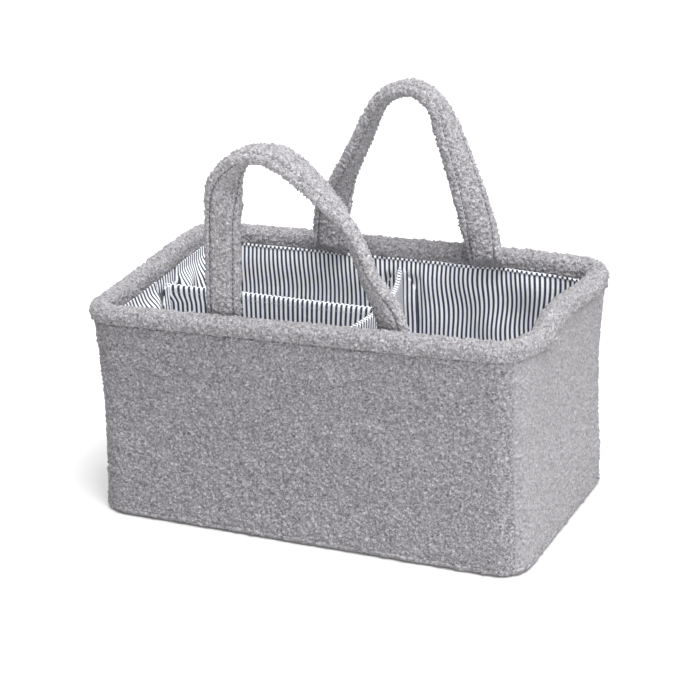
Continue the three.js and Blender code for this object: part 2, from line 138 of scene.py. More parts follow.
def on_wall(centre, way, depth, height):
    """Points at depths inwards from the outside cloth and at heights, for each station."""
    out = CORNER_RADIUS - depth - drawn_in(height)
    x = centre[:, None, 0] + way[:, None, 0] * out
    y = centre[:, None, 1] + way[:, None, 1] * out
    x, y, height = np.broadcast_arrays(x, y, height)
    share = np.clip(height / RIM_HEIGHT, 0, 1)
    swell = WALL_WAVE * slow_wave(x, y, height) * np.sin(np.pi * share)
    x = x + way[:, None, 0] * swell
    y = y + way[:, None, 1] * swell
    z = height + rim_lift(x, y) * share**1.5
    return np.stack([x + spread(x, y, z), y, z], 2)


def placed(name, data):
    """A new object in the scene, at the origin."""
    thing = bpy.data.objects.new(name, data)
    bpy.context.scene.collection.objects.link(thing)
    return thing


def mesh_of(name, points, faces, edges=()):
    mesh = bpy.data.meshes.new(name)
    mesh.from_pydata(np.asarray(points).tolist(), list(edges), [tuple(face) for face in faces])
    mesh.polygons.foreach_set("use_smooth", [True] * len(mesh.polygons))
    mesh.update()
    return placed(name, mesh)


def grid_faces(rows, columns, rows_close=False, columns_close=True):
    """Quads of a grid of points. A tube, whose columns close, gets its two ends filled."""
    index = np.arange(rows * columns).reshape(rows, columns)
    if rows_close:
        index = np.vstack([index, index[:1]])
    if columns_close:
        index = np.hstack([index, index[:, :1]])
    corners = [index[:-1, :-1], index[1:, :-1], index[1:, 1:], index[:-1, 1:]]
    faces = np.stack(corners, 2).reshape(-1, 4).tolist()
    if columns_close and not rows_close:
        faces += [index[0, :-1].tolist(), index[-1, -2::-1].tolist()]
    return faces


def outward(points, faces):
    """The faces, all turned round if they enclose a negative volume."""
    flat = np.asarray(points).reshape(-1, 3)
    quads = np.array([face for face in faces if len(face) == 4])
    a, b, c, d = (flat[quads[:, i]] for i in range(4))
    volume = (a * np.cross(b, c)).sum() + (a * np.cross(c, d)).sum()
    return faces if volume > 0 else [face[::-1] for face in faces]


def grid_piece(name, grid, rows_close=False, columns_close=True, material=None):
    """A piece from a grid of points, with its faces turned outwards."""
    points = grid.reshape(-1, 3)
    faces = grid_faces(*grid.shape[:2], rows_close, columns_close)
    piece = mesh_of(name, points, outward(points, faces))
    if material:
        piece.data.materials.append(material)
    return piece


def grid_normals(grid, rows_close, columns_close=True):
    """The way out of a grid of points at each of them."""

    def step(axis, closes):
        if closes:
            return np.roll(grid, -1, axis) - np.roll(grid, 1, axis)
        return np.gradient(grid, axis=axis)

    normal = np.cross(step(0, rows_close), step(1, columns_close))
    return normal / np.maximum(np.linalg.norm(normal, axis=2, keepdims=True), 1e-12)


def node_maker(tree):
    """Two functions that add nodes to a tree: any node, and a node that does one sum.

    Each links or sets the node's inputs. The first gives all its outputs, and the second its result.
    """

    def add(kind, inputs=(), **settings):
        node = tree.nodes.new(kind)
        for name, value in settings.items():
            setattr(node, name, value)
        for slot, value in dict(inputs).items():
            if isinstance(value, bpy.types.NodeSocket):
                tree.links.new(value, node.inputs[slot])
            else:
                node.inputs[slot].default_value = value
        return node.outputs

    def number(operation, *values):
        return add("ShaderNodeMath", enumerate(values), operation=operation)[0]

    return add, number


def new_tree(name, kind, inputs, outputs):
    """A node tree with named sockets, what adds nodes to it, and what comes in.

    An input is a name, a type and a value.
    """
    tree = bpy.data.node_groups.new(name, kind)
    for label, socket, value in inputs:
        entry = tree.interface.new_socket(label, in_out="INPUT", socket_type=f"NodeSocket{socket}")
        if value is not None:
            entry.default_value = value
    for label, socket in outputs:
        tree.interface.new_socket(label, in_out="OUTPUT", socket_type=f"NodeSocket{socket}")
    add, number = node_maker(tree)
    return tree, add, number, add("NodeGroupInput")


def leave_dressed(add, geometry, material):
    """The end of a geometry nodes tree: real geometry in its material."""
    real = add("GeometryNodeRealizeInstances", {0: geometry})[0]
    dressed = add("GeometryNodeSetMaterial", {"Geometry": real, "Material": material})[0]
    add("NodeGroupOutput", {0: dressed})


def curled_pile_tree():
    """Geometry nodes that raise the curls of a pile cloth on a finely divided piece."""
    inputs = (
        ("Geometry", "Geometry", None),
        ("Curl Size", "Float", 0.0024),
        ("Curl Height", "Float", 0.0027),
        ("Clump Size", "Float", 0.010),
        ("Clump Height", "Float", 0.0014),
        ("Cloth", "Material", None),
    )
    outputs = [("Geometry", "Geometry")]
    tree, add, number, enter = new_tree("curled_pile", "GeometryNodeTree", inputs, outputs)

    def vector(operation, first, second):
        slot = "Scale" if operation == "SCALE" else 1
        return add("ShaderNodeVectorMath", {0: first, slot: second}, operation=operation)[0]

    def named(name, kind):
        return add("GeometryNodeInputNamedAttribute", {"Name": name}, data_type=kind)["Attribute"]

    place = add("GeometryNodeInputPosition")[0]
    per_curl = number("DIVIDE", 1, enter["Curl Size"])
    per_bend = number("MULTIPLY", per_curl, 0.55)
    bend = add("ShaderNodeTexNoise", {"Vector": place, "Scale": per_bend, "Detail": 1})["Color"]
    shift = vector("SUBTRACT", bend, (0.5, 0.5, 0.5))
    bent = vector("ADD", place, vector("SCALE", shift, number("MULTIPLY", enter["Curl Size"], 1.7)))

    def bumps(scale, smoothness):
        cell = {"Vector": bent, "Scale": scale, "Smoothness": smoothness}
        distance = add("ShaderNodeTexVoronoi", cell, feature="SMOOTH_F1")["Distance"]
        rise = {"Value": distance, "From Min": 0.62, "From Max": 0.05}
        return add("ShaderNodeMapRange", rise, interpolation_type="SMOOTHSTEP")[0]

    coarse = bumps(per_curl, 0.25)
    fine = bumps(number("MULTIPLY", per_curl, 1.75), 0.15)
    curls = number("ADD", number("MULTIPLY", coarse, 0.68), number("MULTIPLY", fine, 0.32))
    per_clump = number("DIVIDE", 1, enter["Clump Size"])
    clumps = add("ShaderNodeTexNoise", {"Vector": place, "Scale": per_clump, "Detail": 2})[0]
    uneven = number("MULTIPLY", number("SUBTRACT", clumps, 0.5), 2)
    rise = number("MULTIPLY", curls, enter["Curl Height"])
    rise = number("ADD", rise, number("MULTIPLY", uneven, enter["Clump Height"]))
    rise = number("MULTIPLY", rise, named("pile_share", "FLOAT"))
    offset = vector("SCALE", named("pile_way", "FLOAT_VECTOR"), rise)
    moved = add("GeometryNodeSetPosition", {"Geometry": enter["Geometry"], "Offset": offset})[0]
    # The curl heights are kept for the pile's material, which paints shade into the hollows between the curls
    # from them.
    curl = {"Geometry": moved, "Name": "curl", "Value": curls}
    kept = add("GeometryNodeStoreNamedAttribute", curl, data_type="FLOAT", domain="POINT")[0]
    leave_dressed(add, kept, enter["Cloth"])
    return tree


CURLED_PILE = curled_pile_tree()
LOOK_OUTPUTS = (("Color", "Color"), ("Height", "Float"))


def made(piece, tree, **values):
    """A plain mesh of a piece after a geometry nodes tree."""
    nodes = piece.modifiers.new("made", "NODES")
    nodes.node_group = tree
    for item in tree.interface.items_tree:
        key = item.name.lower().replace(" ", "_")
        if item.item_type == "SOCKET" and item.in_out == "INPUT" and key in values:
            nodes[item.identifier] = values[key]
    graph = bpy.context.evaluated_depsgraph_get()
    evaluated = piece.evaluated_get(graph)
    mesh = bpy.data.meshes.new_from_object(evaluated, preserve_all_data_layers=True, depsgraph=graph)
    piece.modifiers.remove(nodes)
    piece.data = mesh
    return piece


def curled(piece, grid, share, rows_close, columns_close=True, **values):
    """Raises the pile on a piece: share is how much of it each point carries, 0 to 1."""
    way = grid_normals(grid, rows_close, columns_close).reshape(-1, 3)
    faces = piece.data.polygons[: len(piece.data.polygons) // 2]
    if sum(face.normal @ Vector(way[face.vertices[0]]) for face in faces[::50]) < 0:
        way = -way
    ways = piece.data.attributes.new("pile_way", "FLOAT_VECTOR", "POINT")
    ways.data.foreach_set("vector", way.astype(np.float32).ravel())
    shares = piece.data.attributes.new("pile_share", "FLOAT", "POINT")
    shares.data.foreach_set("value", np.asarray(share, np.float32).ravel())
    return made(piece, CURLED_PILE, **{"cloth": PILE_CLOTH, **values})


def blended(add, share, first, second):
    """From one colour to another, by a share."""
    return add("ShaderNodeMix", {"Factor": share, "A": first, "B": second}, data_type="RGBA")["Result"]


def pile_look_group():
    """The look of curly pile: light tips, dark roots with the fibres mixed in, and their fine relief; the
    dark of the roots is painted shade in the hollows between the curls and fibres.
    """
    inputs = (
        ("Tips", "Color", (0.6, 0.6, 0.6, 1)),
        ("Roots", "Color", (0.2, 0.2, 0.2, 1)),
        ("Fibre Scale", "Float", 470.0),
    )
    group, add, number, enter = new_tree("pile_look", "ShaderNodeTree", inputs, LOOK_OUTPUTS)
    place = add("ShaderNodeTexCoord")["Object"]
    curl = add("ShaderNodeAttribute", attribute_name="curl")["Fac"]
    fibre = {"Scale": enter["Fibre Scale"], "Detail": 3, "Roughness": 0.7, "Distortion": 1.2}
    fibres = add("ShaderNodeTexNoise", {"Vector": place, **fibre})[0]
    patches = add("ShaderNodeTexNoise", {"Vector": place, "Scale": 26, "Detail": 2})[0]
    # Painted shade: the lower a place lies among the curls and fibres, the nearer its colour is to the dark
    # roots.
    mixed = number("MULTIPLY", number("SUBTRACT", fibres, 0.5), 3.9)
    depth = number("ADD", number("MULTIPLY", curl, 0.7), mixed)
    share = add("ShaderNodeMapRange", {"Value": depth, "From Min": -0.45, "From Max": 0.95})[0]
    shade = blended(add, share, enter["Roots"], enter["Tips"])
    value = number("ADD", 0.95, number("MULTIPLY", patches, 0.10))
    tone = add("ShaderNodeHueSaturation", {"Value": value, "Color": shade})[0]
    height = number("ADD", number("MULTIPLY", curl, 0.5), fibres)
    add("NodeGroupOutput", {"Color": tone, "Height": height})
    return group


PILE_LOOK = pile_look_group()


def new_material(name, look, relief, values):
    """A material: look adds nodes and gives a colour and a height, relief is how much they stand out."""
    material = bpy.data.materials.new(name)
    material.use_nodes = True
    tree = material.node_tree
    add, _ = node_maker(tree)
    colour, height = look(add)
    bump = add("ShaderNodeBump", {"Strength": relief[0], "Distance": relief[1], "Height": height})[0]
    shader = tree.nodes["Principled BSDF"].inputs
    tree.links.new(bump, shader["Normal"])
    tree.links.new(colour, shader["Base Color"])
    for slot, value in values.items():
        shader[slot].default_value = value
    return material


def pile_cloth(name, tips, roots):
    """Curly pile cloth: matt fibres that glow a little where light grazes them."""

    def look(add):
        return add("ShaderNodeGroup", {"Tips": (*tips, 1), "Roots": (*roots, 1)}, node_tree=PILE_LOOK)

    values = {"Roughness": 0.95, "Sheen Weight": 0.25, "Sheen Roughness": 0.6, "Specular IOR Level": 0.15}
    return new_material(name, look, (0.9, 0.0016), values)


# Each pile cloth's second colour is painted shade: the dark of the hollows between its curls.
PILE_CLOTH = pile_cloth("pile_cloth", (0.455, 0.438, 0.467), (0.076, 0.072, 0.079))
# A copy of the pile cloth for the end walls, painted for how the light falls on them: darker tips and paler
# roots, so less painted shade between the curls.
END_WALL_LIT_PILE = pile_cloth("brushed_pile", (0.39, 0.379, 0.398), (0.165, 0.159, 0.170))

TOP_OF_PANEL = BAND_BOTTOM + 0.0006
FOOT_OF_PANEL = 0.0053
SKIN_DEPTH = 0.0009  # how far the outside cloth lies below the tips of its pile


def pile_panel(wall):
    """One wall of outside cloth: a shell with its pile on the outer side, pulled in at the top seam."""
    centre, way, _ = wall_stations(wall, PILE_SPACING)
    count = round((TOP_OF_PANEL - FOOT_OF_PANEL) / PILE_SPACING)
    outer = np.linspace(FOOT_OF_PANEL, TOP_OF_PANEL, count + 1)
    inner = np.linspace(TOP_OF_PANEL, FOOT_OF_PANEL, 9)
    heights = np.concatenate([outer, inner])
    edge = np.minimum(outer - outer[0], outer[-1] - outer)
    full = np.clip(edge / 0.003, 0, 1)
    pulled = np.where(outer > RIM_HEIGHT / 2, 0.0030, 0.0002)
    skin = SKIN_DEPTH + pulled * (1 - full) ** 2
    grid = on_wall(centre, way, np.concatenate([skin, np.full(len(inner), PILE_THICKNESS)]), heights)
    kept = np.where(outer > RIM_HEIGHT / 2, 0.35 + 0.65 * full, 1)
    share = np.broadcast_to(np.concatenate([kept, np.zeros(len(inner))]), grid.shape[:2])
    piece = grid_piece(f"outside_{WALLS[wall]}_cloth", grid)
    # The end walls take the copy painted for how the light falls on them, and lower curls.
    if wall % 2:
        return curled(piece, grid, share, False, cloth=END_WALL_LIT_PILE, curl_height=0.0021, clump_height=0.0010)
    return curled(piece, grid, share, False)


for wall, name in enumerate(WALLS):
    panel = pile_panel(wall)
    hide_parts(f"outside_{name}")
    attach(panel, "basket")

# Base cloth. One piece of the same cloth under the floor, its rounded edge sewn to the walls.
# The basket stands on it, so its pile is pressed flat below.
BASE_EDGE_ROUND = 0.0025


def plan_loop(spacing):
    """Stations all the way round the basket: centre and way out at each."""
    parts = [wall_stations(wall, spacing) for wall in range(4)]
    centre = np.vstack([part[0][:-1] for part in parts])
    way = np.vstack([part[1][:-1] for part in parts])
    return centre, way


def pad_grid(levels, spacing):
    """A pad with the basket's plan: its section of depths and heights, then in to the middle."""
    centre, way = plan_loop(spacing)
    ridge_x = np.clip(centre[:, 0], -(LENGTH - WIDTH) / 2, (LENGTH - WIDTH) / 2)
    ridge = np.stack([ridge_x, 0 * ridge_x], 1)
    steps = round((WIDTH / 2 - CORNER_RADIUS) / spacing)

    def loop(depth, height, share):
        edge = centre + way * (CORNER_RADIUS - depth)
        flat = edge * (1 - share) + ridge * share
        flat[:, 0] += spread(flat[:, 0], flat[:, 1], height)
        return np.column_stack([flat, np.full(len(flat), height)])

    shares = np.linspace(0, 1, steps + 1)
    columns = [loop(*levels[0], share) for share in shares[:0:-1]]
    columns += [loop(depth, height, 0) for depth, height in levels]
    columns += [loop(*levels[-1], share) for share in shares[1:]]
    return np.stack(columns, 1), steps


def welded(piece):
    """The piece, with points that lie in one place made one."""
    mesh = bmesh.new()
    mesh.from_mesh(piece.data)
    bmesh.ops.remove_doubles(mesh, verts=mesh.verts, dist=1e-5)
    bmesh.ops.dissolve_degenerate(mesh, edges=mesh.edges, dist=1e-7)
    mesh.to_mesh(piece.data)
    mesh.free()
    return piece


def base_cloth():
    """The base: a flat pad with a round lower edge, its pile fuller towards the walls."""
    low, inset, pressed = 0.0011, 0.0008, 0.55
    around = BASE_EDGE_ROUND
    turn = np.linspace(0, math.pi / 2, 5)
    levels = [(inset + around * (1 - math.sin(a)), low + around * (1 - math.cos(a))) for a in turn]
    levels += [(inset, 0.0046), (inset + 0.0004, 0.0053)]
    grid, steps = pad_grid(levels, 0.0015)
    share = np.zeros(grid.shape[:2])
    share[:, :steps] = pressed
    share[:, steps : steps + len(levels)] = np.linspace(pressed, 1, len(levels))
    piece = grid_piece("base_cloth", grid, True, False)
    return welded(curled(piece, grid, share, True, False))


cloth = base_cloth()
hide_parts("outside_base")
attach(cloth, "basket")

# Floor board. A thin stiff board lies on the base cloth and keeps the floor flat. It is a
# pressed fibre board with a faint mottle, and nothing of it shows from outside.


def two_tone(add, share, colour, darker):
    """A colour, darker where the share is small, and the share itself as its height."""
    return blended(add, share, (*[darker * c for c in colour], 1), (*colour, 1)), share


def fibre_board(name, colour):
    """Pressed board: flecks of fibre and a slight waviness."""

    def look(add):
        place = add("ShaderNodeTexCoord")["Object"]
        fleck = {"Vector": place, "Scale": 420, "Detail": 4, "Distortion": 1.5}
        return two_tone(add, add("ShaderNodeTexNoise", fleck)[0], colour, 0.72)

    return new_material(name, look, (0.3, 0.0003), {"Roughness": 0.75})


STIFF_BOARD = fibre_board("fibre_board", (0.52, 0.47, 0.38))


def finished_node(name, material):
    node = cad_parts[name]
    node.data.materials.clear()
    node.data.materials.append(material)


finished_node("base_board", STIFF_BOARD)

# Foam. A sheet of soft open-celled foam stands in each wall, between the outside cloth and the
# lining, and another lies on the floor board. They make the walls stand by themselves.
WALL_FOAM = 0.005
FOAM_DEPTH = 0.0053
BASE_FOAM_BOTTOM = 0.0081
BASE_FOAM = 0.004


def open_foam():
    """White foam: small open cells of uneven size, with painted shade in their hollows."""

    def look(add):
        cell = {"Vector": add("ShaderNodeTexCoord")["Object"], "Scale": 900}
        distance = add("ShaderNodeTexVoronoi", cell, feature="DISTANCE_TO_EDGE")["Distance"]
        # Painted shade: each cell is darker in its hollow than on its walls.
        shaded_hollow = add("ShaderNodeMapRange", {"Value": distance, "From Max": 0.25})[0]
        wall = add("ShaderNodeMapRange", {"Value": distance, "From Min": 0.25, "From Max": 0})[0]
        return blended(add, shaded_hollow, (0.74, 0.72, 0.66, 1), (0.5, 0.48, 0.43, 1)), wall

    values = {"Roughness": 0.9, "Subsurface Weight": 0.1, "Subsurface Radius": (0.002, 0.002, 0.002)}
    return new_material("open_foam", look, (0.6, 0.0004), values)


FOAM = open_foam()


def rounded_section(depth, thickness, bottom, top, rows, edge=0.001):
    """Depths and heights round a sheet's section, with its two edges rounded."""
    near, far, middle = depth + edge * 0.3, depth + thickness - edge * 0.3, depth + thickness / 2
    outer = [(depth, z) for z in np.linspace(bottom + edge, top - edge, rows)]
    inner = [(depth + thickness, z) for z in np.linspace(top - edge, bottom + edge, rows)]
    over = [(near, top - edge * 0.3), (middle, top), (far, top - edge * 0.3)]
    under = [(far, bottom + edge * 0.3), (middle, bottom), (near, bottom + edge * 0.3)]
    return np.array(outer + over + inner + under)


for wall, name in enumerate(WALLS):
    centre, way, arc = wall_stations(wall, 0.006)
    flat = np.abs(arc) < wall_half(wall) - 0.001
    section = rounded_section(FOAM_DEPTH, WALL_FOAM, BASE_FOAM_BOTTOM, BAND_BOTTOM + 0.01, 28)
    grid = on_wall(centre[flat], way[flat], section[:, 0], section[:, 1])
    foam = grid_piece(f"wall_foam_{name}", grid, material=FOAM)
    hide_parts(f"foam_{name}")
    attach(foam, "basket")

FLOOR_DEPTH = 0.0106
FOAM_ROUND = 0.0008
foam_top = BASE_FOAM_BOTTOM + BASE_FOAM
foam_levels = [
    (FLOOR_DEPTH + FOAM_ROUND, BASE_FOAM_BOTTOM),
    (FLOOR_DEPTH, BASE_FOAM_BOTTOM + FOAM_ROUND),
    (FLOOR_DEPTH, foam_top - FOAM_ROUND),
    (FLOOR_DEPTH + FOAM_ROUND, foam_top),
]
foam = welded(grid_piece("floor_foam", pad_grid(foam_levels, 0.006)[0], True, False, FOAM))
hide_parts("base_foam")
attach(foam, "basket")

# Lining. Five pieces of plain woven cotton with narrow dark stripes, sewn to each other at the
# corners and to the rim band's lower edge above, where each is turned under in a narrow fold.
# The cloth is a little longer than the wall, so it ripples, most of all on the left.
LINING_DEPTH = 0.0106
LINING_THICKNESS = 0.0012
INSIDE_DEPTH = LINING_DEPTH + LINING_THICKNESS
FLOOR = 0.0136
STRIPE_PERIOD = 0.0042
TURNED_UNDER = 0.0024  # height of the narrow fold at the top edge
LINING_TOP = BAND_BOTTOM + 0.0012
LINING_ROWS = 84  # of points below the fold
FOLD_ROWS = 6  # and on it
TAPE_PLACES = {0: 0.010, 2: -0.010, 3: -0.005}  # along each tape's wall; the lining is flat there


def striped_look_group():
    """Yarn-dyed stripes that run along the cloth's own v direction, with its plain weave."""
    inputs = (
        ("Dark", "Color", (0.040, 0.046, 0.078, 1)),
        ("Light", "Color", (0.90, 0.91, 0.94, 1)),
        ("Period", "Float", STRIPE_PERIOD),
        ("Dark Share", "Float", 0.48),
        ("Yarn", "Float", 0.00042),
    )
    group, add, number, enter = new_tree("striped_look", "ShaderNodeTree", inputs, LOOK_OUTPUTS)
    across, along, _ = add("ShaderNodeSeparateXYZ", {0: add("ShaderNodeTexCoord")["UV"]})
    place = add("ShaderNodeTexCoord")["Object"]
    fuzz = add("ShaderNodeTexNoise", {"Vector": place, "Scale": 2600, "Detail": 2})[0]
    ragged = number("MULTIPLY", number("SUBTRACT", fuzz, 0.5), 0.0003)
    turns = number("DIVIDE", number("ADD", across, ragged), enter["Period"])
    middle = number("ABSOLUTE", number("SUBTRACT", number("FRACT", turns), 0.5))
    half = number("MULTIPLY", enter["Dark Share"], 0.5)
    low, high = number("SUBTRACT", half, 0.045), number("ADD", half, 0.045)
    edge = {"Value": middle, "From Min": low, "From Max": high}
    light = add("ShaderNodeMapRange", edge, interpolation_type="SMOOTHSTEP")[0]
    shade = blended(add, light, enter["Dark"], enter["Light"])

    def wave(value):
        return number("SINE", number("MULTIPLY", number("DIVIDE", value, enter["Yarn"]), 2 * math.pi))

    weave = number("ADD", number("MULTIPLY", number("MULTIPLY", wave(across), wave(along)), 0.5), 0.5)
    # Painted shade: the cloth is darker in the dips of its weave and lighter on the raised yarns; the fuzz
    # varies its tone at random.
    weave_shade_and_fuzz = number("ADD", number("MULTIPLY", weave, 0.1), number("MULTIPLY", fuzz, 0.16))
    tint = add("ShaderNodeHueSaturation", {"Value": number("ADD", weave_shade_and_fuzz, 0.87), "Color": shade})[0]
    height = number("ADD", weave, number("MULTIPLY", fuzz, 0.6))
    add("NodeGroupOutput", {"Color": tint, "Height": height})
    return group


STRIPED_LOOK = striped_look_group()


def striped_cotton():
    """Plain woven cotton with narrow navy stripes on white."""
    values = {"Roughness": 0.82, "Sheen Weight": 0.12, "Specular IOR Level": 0.25}

    def look(add):
        return add("ShaderNodeGroup", node_tree=STRIPED_LOOK)

    return new_material("striped_cotton", look, (0.35, 0.00018), values)


STRIPES = striped_cotton()


def give_uv(piece, across, along, shifted=None):
    """The cloth's own directions, in metres, for each point. Shifted faces are half a stripe off."""
    layer = piece.data.uv_layers.new(name="cloth")
    corner = np.empty(len(piece.data.loops), np.int32)
    piece.data.loops.foreach_get("vertex_index", corner)
    u = np.asarray(across).ravel()[corner]
    v = np.asarray(along).ravel()[corner]
    if shifted is not None:
        corners = [face.loop_total for face in piece.data.polygons]
        u = u + np.where(np.repeat(shifted, corners), STRIPE_PERIOD / 2, 0)
    layer.data.foreach_set("uv", np.column_stack([u, v]).astype(np.float32).ravel())


def smooth_step(value, low, high):
    share = np.clip((value - low) / (high - low), 0, 1)
    return share * share * (3 - 2 * share)


def lining_ripple(wall, along, z):
    """How far the lining stands off its foam, inwards, at a place on a wall."""
    top = smooth_step(z, 0.140, 0.172)
    off = 0.0034 * top + 0 * along
    if wall == 2:
        off += 0.0007 * (1 + np.sin(78 * along + 30 * z)) * smooth_step(z, 0.03, 0.12)
        right_part = smooth_step(-along, 0.02, 0.07)
        off += 0.0012 * (1 + np.sin(120 * along - 55 * z + 0.8)) * right_part * smooth_step(z, 0.06, 0.13)
    elif wall == 3:
        pucker = np.sin(190 * along + 130 * (z - 0.15) + 0.8 * np.sin(60 * along)) * 0.5 + 0.5
        off += 0.0062 * smooth_step(z, 0.085, 0.150) * (1 - 0.75 * smooth_step(z, 0.158, 0.177))
        off += 0.0050 * pucker * smooth_step(z, 0.100, 0.140) * (1 - smooth_step(z, 0.160, 0.177))
    else:
        off += 0.0006 * (1 + np.sin(90 * along + 25 * z)) * smooth_step(z, 0.05, 0.12)
    if wall in TAPE_PLACES:
        clear = 1 - smooth_step(np.abs(along - TAPE_PLACES[wall]), 0.0152, 0.0200)
        off = off * (1 - clear) + 0.0032 * smooth_step(z, 0.160, 0.172) * clear
    return off


def stripe_sway(wall, along, z):
    """How far a ripple carries the stripes sideways."""
    if wall == 2:
        right_part = 0.25 + 0.75 * smooth_step(-along, 0.02, 0.08)
        return 0.0011 * right_part * np.sin(112 * z + 36 * along + 0.6) + 0.0005 * np.sin(60 * z - 21 * along)
    if wall == 3:
        return 0.0034 * np.sin(80 * z + 34 * along) * smooth_step(z, 0.08, 0.14)
    return 0.0005 * np.sin(80 * z + 25 * along)


def path_length(points):
    """How far along a line of points each of them lies."""
    return np.concatenate([[0], np.cumsum(np.linalg.norm(np.diff(points, axis=0), axis=1))])


def lining_panel(wall):
    """One wall of lining, with the narrow fold along its top, which the slack left one hasn't."""
    centre, way, arc = wall_stations(wall, 0.0016)
    fold_foot = LINING_TOP - TURNED_UNDER
    below = np.linspace(FLOOR + 0.0003, fold_foot, LINING_ROWS)
    rows = np.concatenate([below, np.linspace(fold_foot, LINING_TOP, FOLD_ROWS + 1)[1:]])
    fold = np.clip((rows - fold_foot) / TURNED_UNDER, 0, 1)
    swell = 0 if wall == 3 else 0.0008
    fold_out = swell * np.sqrt(np.clip(1 - (2 * fold - 1) ** 2, 0, 1)) * (fold > 0)
    ripple = lining_ripple(wall, arc[:, None], rows[None, :])
    depth = np.hstack([INSIDE_DEPTH + ripple + fold_out, (LINING_DEPTH + ripple)[:, ::-1]])
    height = np.broadcast_to(np.concatenate([rows, rows[::-1]]), depth.shape)
    grid = on_wall(centre, way, depth, height)
    piece = grid_piece(f"lining_{WALLS[wall]}_cloth", grid, material=STRIPES)
    u = path_length(grid[:, len(rows) // 2])
    u = (u - u.mean())[:, None] + stripe_sway(wall, arc[:, None], height)
    column = np.tile(np.arange(grid.shape[1]), len(grid) - 1)
    in_fold = (column >= LINING_ROWS - 1) & (column < LINING_ROWS + FOLD_ROWS - 1) & (wall != 3)
    give_uv(piece, u, height, np.concatenate([in_fold, [False, False]]))
    return piece


LINING_HEIGHT = 0.166  # of the flat cut pieces
LINING_CUT = 0.035  # how much shorter than the basket they are
for wall, name in enumerate(WALLS):
    panel = lining_panel(wall)
    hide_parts(f"lining_{name}")
    flat = ((LENGTH, WIDTH)[wall % 2] - LINING_CUT, LINING_HEIGHT)
    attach(panel, "basket")

levels = [(LINING_DEPTH + 0.0004, 0.0124), (LINING_DEPTH, 0.0130), (LINING_DEPTH + 0.0004, FLOOR)]
sheet = welded(grid_piece("lining_floor_cloth", pad_grid(levels, 0.004)[0], True, False, STRIPES))
coordinates = np.array([point.co for point in sheet.data.vertices])
give_uv(sheet, coordinates[:, 0], coordinates[:, 1])
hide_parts("lining_base")
flat = (LENGTH - 2 * LINING_DEPTH, WIDTH - 2 * LINING_DEPTH)
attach(sheet, "basket")

# Rim band. One long strip of pile cloth is folded over the top of the walls and stitched down
# along both its lower edges: in the ditch against the outside cloth, and against the lining.
BAND_OUT = -0.0018  # depth of its outer side, beyond the outside cloth
BAND_IN = 0.0166  # depth of its inner side
BAND_SKIN = 0.0007  # how far the cloth lies below the tips of its pile
SEAM_ROUND = 0.0022
BAND_SPACING = 0.00095  # of the mesh


def evened(points, spacing, closed=False):
    """A line's values at even distances along its first two, and those distances."""
    length = path_length(points[:, :2])
    count = round(length[-1] / spacing)
    even = np.linspace(0, length[-1], count if closed else count + 1, endpoint=not closed)
    return np.column_stack([np.interp(even, length, values) for values in points.T]), even


def band_section():
    """Depths, heights and pile shares round the band, from its outer stitched edge over the top."""
    outer, inner = BAND_OUT + BAND_SKIN, BAND_IN - BAND_SKIN
    half = (inner - outer) / 2
    middle = (inner + outer) / 2
    arch_foot = RIM_HEIGHT - BAND_SKIN - half
    turn = np.linspace(0, math.pi / 2, 5)
    foot = [(SEAM_ROUND * (1 - math.sin(a)), BAND_BOTTOM + SEAM_ROUND * (1 - math.cos(a))) for a in turn]
    arch = np.linspace(0, math.pi, 40)
    path = [(outer + aside, z) for aside, z in foot]
    path += [(middle - half * math.cos(a), arch_foot + half * math.sin(a)) for a in arch]
    path += [(inner - aside, z) for aside, z in foot[::-1]]
    skin, even = evened(np.array(path), BAND_SPACING)
    share = 0.25 + 0.75 * np.clip(np.minimum(even, even[-1] - even) / 0.003, 0, 1)
    slot, low = BAND_BOTTOM + 0.0103, BAND_BOTTOM + 0.0006
    hidden = [(LINING_DEPTH, low), (LINING_DEPTH, slot), (PILE_THICKNESS, slot), (PILE_THICKNESS, low)]
    return np.vstack([skin, hidden]), np.concatenate([share, np.zeros(4)])


# A lighter copy of the pile cloth for the rim band: painted light for its top, which catches the light from
# above.
RIM_LIT_PILE = pile_cloth("folded_pile", (0.485, 0.471, 0.495), (0.090, 0.086, 0.093))


def rim_band():
    """The band, whose pile is pressed down where the divider's tapes slide past it."""
    centre, way = plan_loop(BAND_SPACING)
    section, share = band_section()
    grid = on_wall(centre, way, section[:, 0], section[:, 1])
    pressed = np.zeros(len(centre), bool)
    for wall, tape in TAPE_PLACES.items():
        c, s = WALL_TURNS[wall]
        pressed |= (way @ (s, -c) > 0.99) & (np.abs(centre @ (c, s) - tape) < 0.0145)
    inner = section[:, 0] > (BAND_IN + BAND_OUT) / 2 + 0.004
    share = share[None, :] * np.where(pressed[:, None] & inner[None, :], 0.25, 1)
    piece = grid_piece("rim_band_cloth", grid, True)
    return curled(piece, grid, share, True, cloth=RIM_LIT_PILE, clump_size=0.015, clump_height=0.0013)


band = rim_band()
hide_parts("rim_band")
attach(band, "basket")

THREAD_PITCH = 0.0042
THREAD_LENGTH = 0.0030
THREAD_THICKNESS = 0.0006


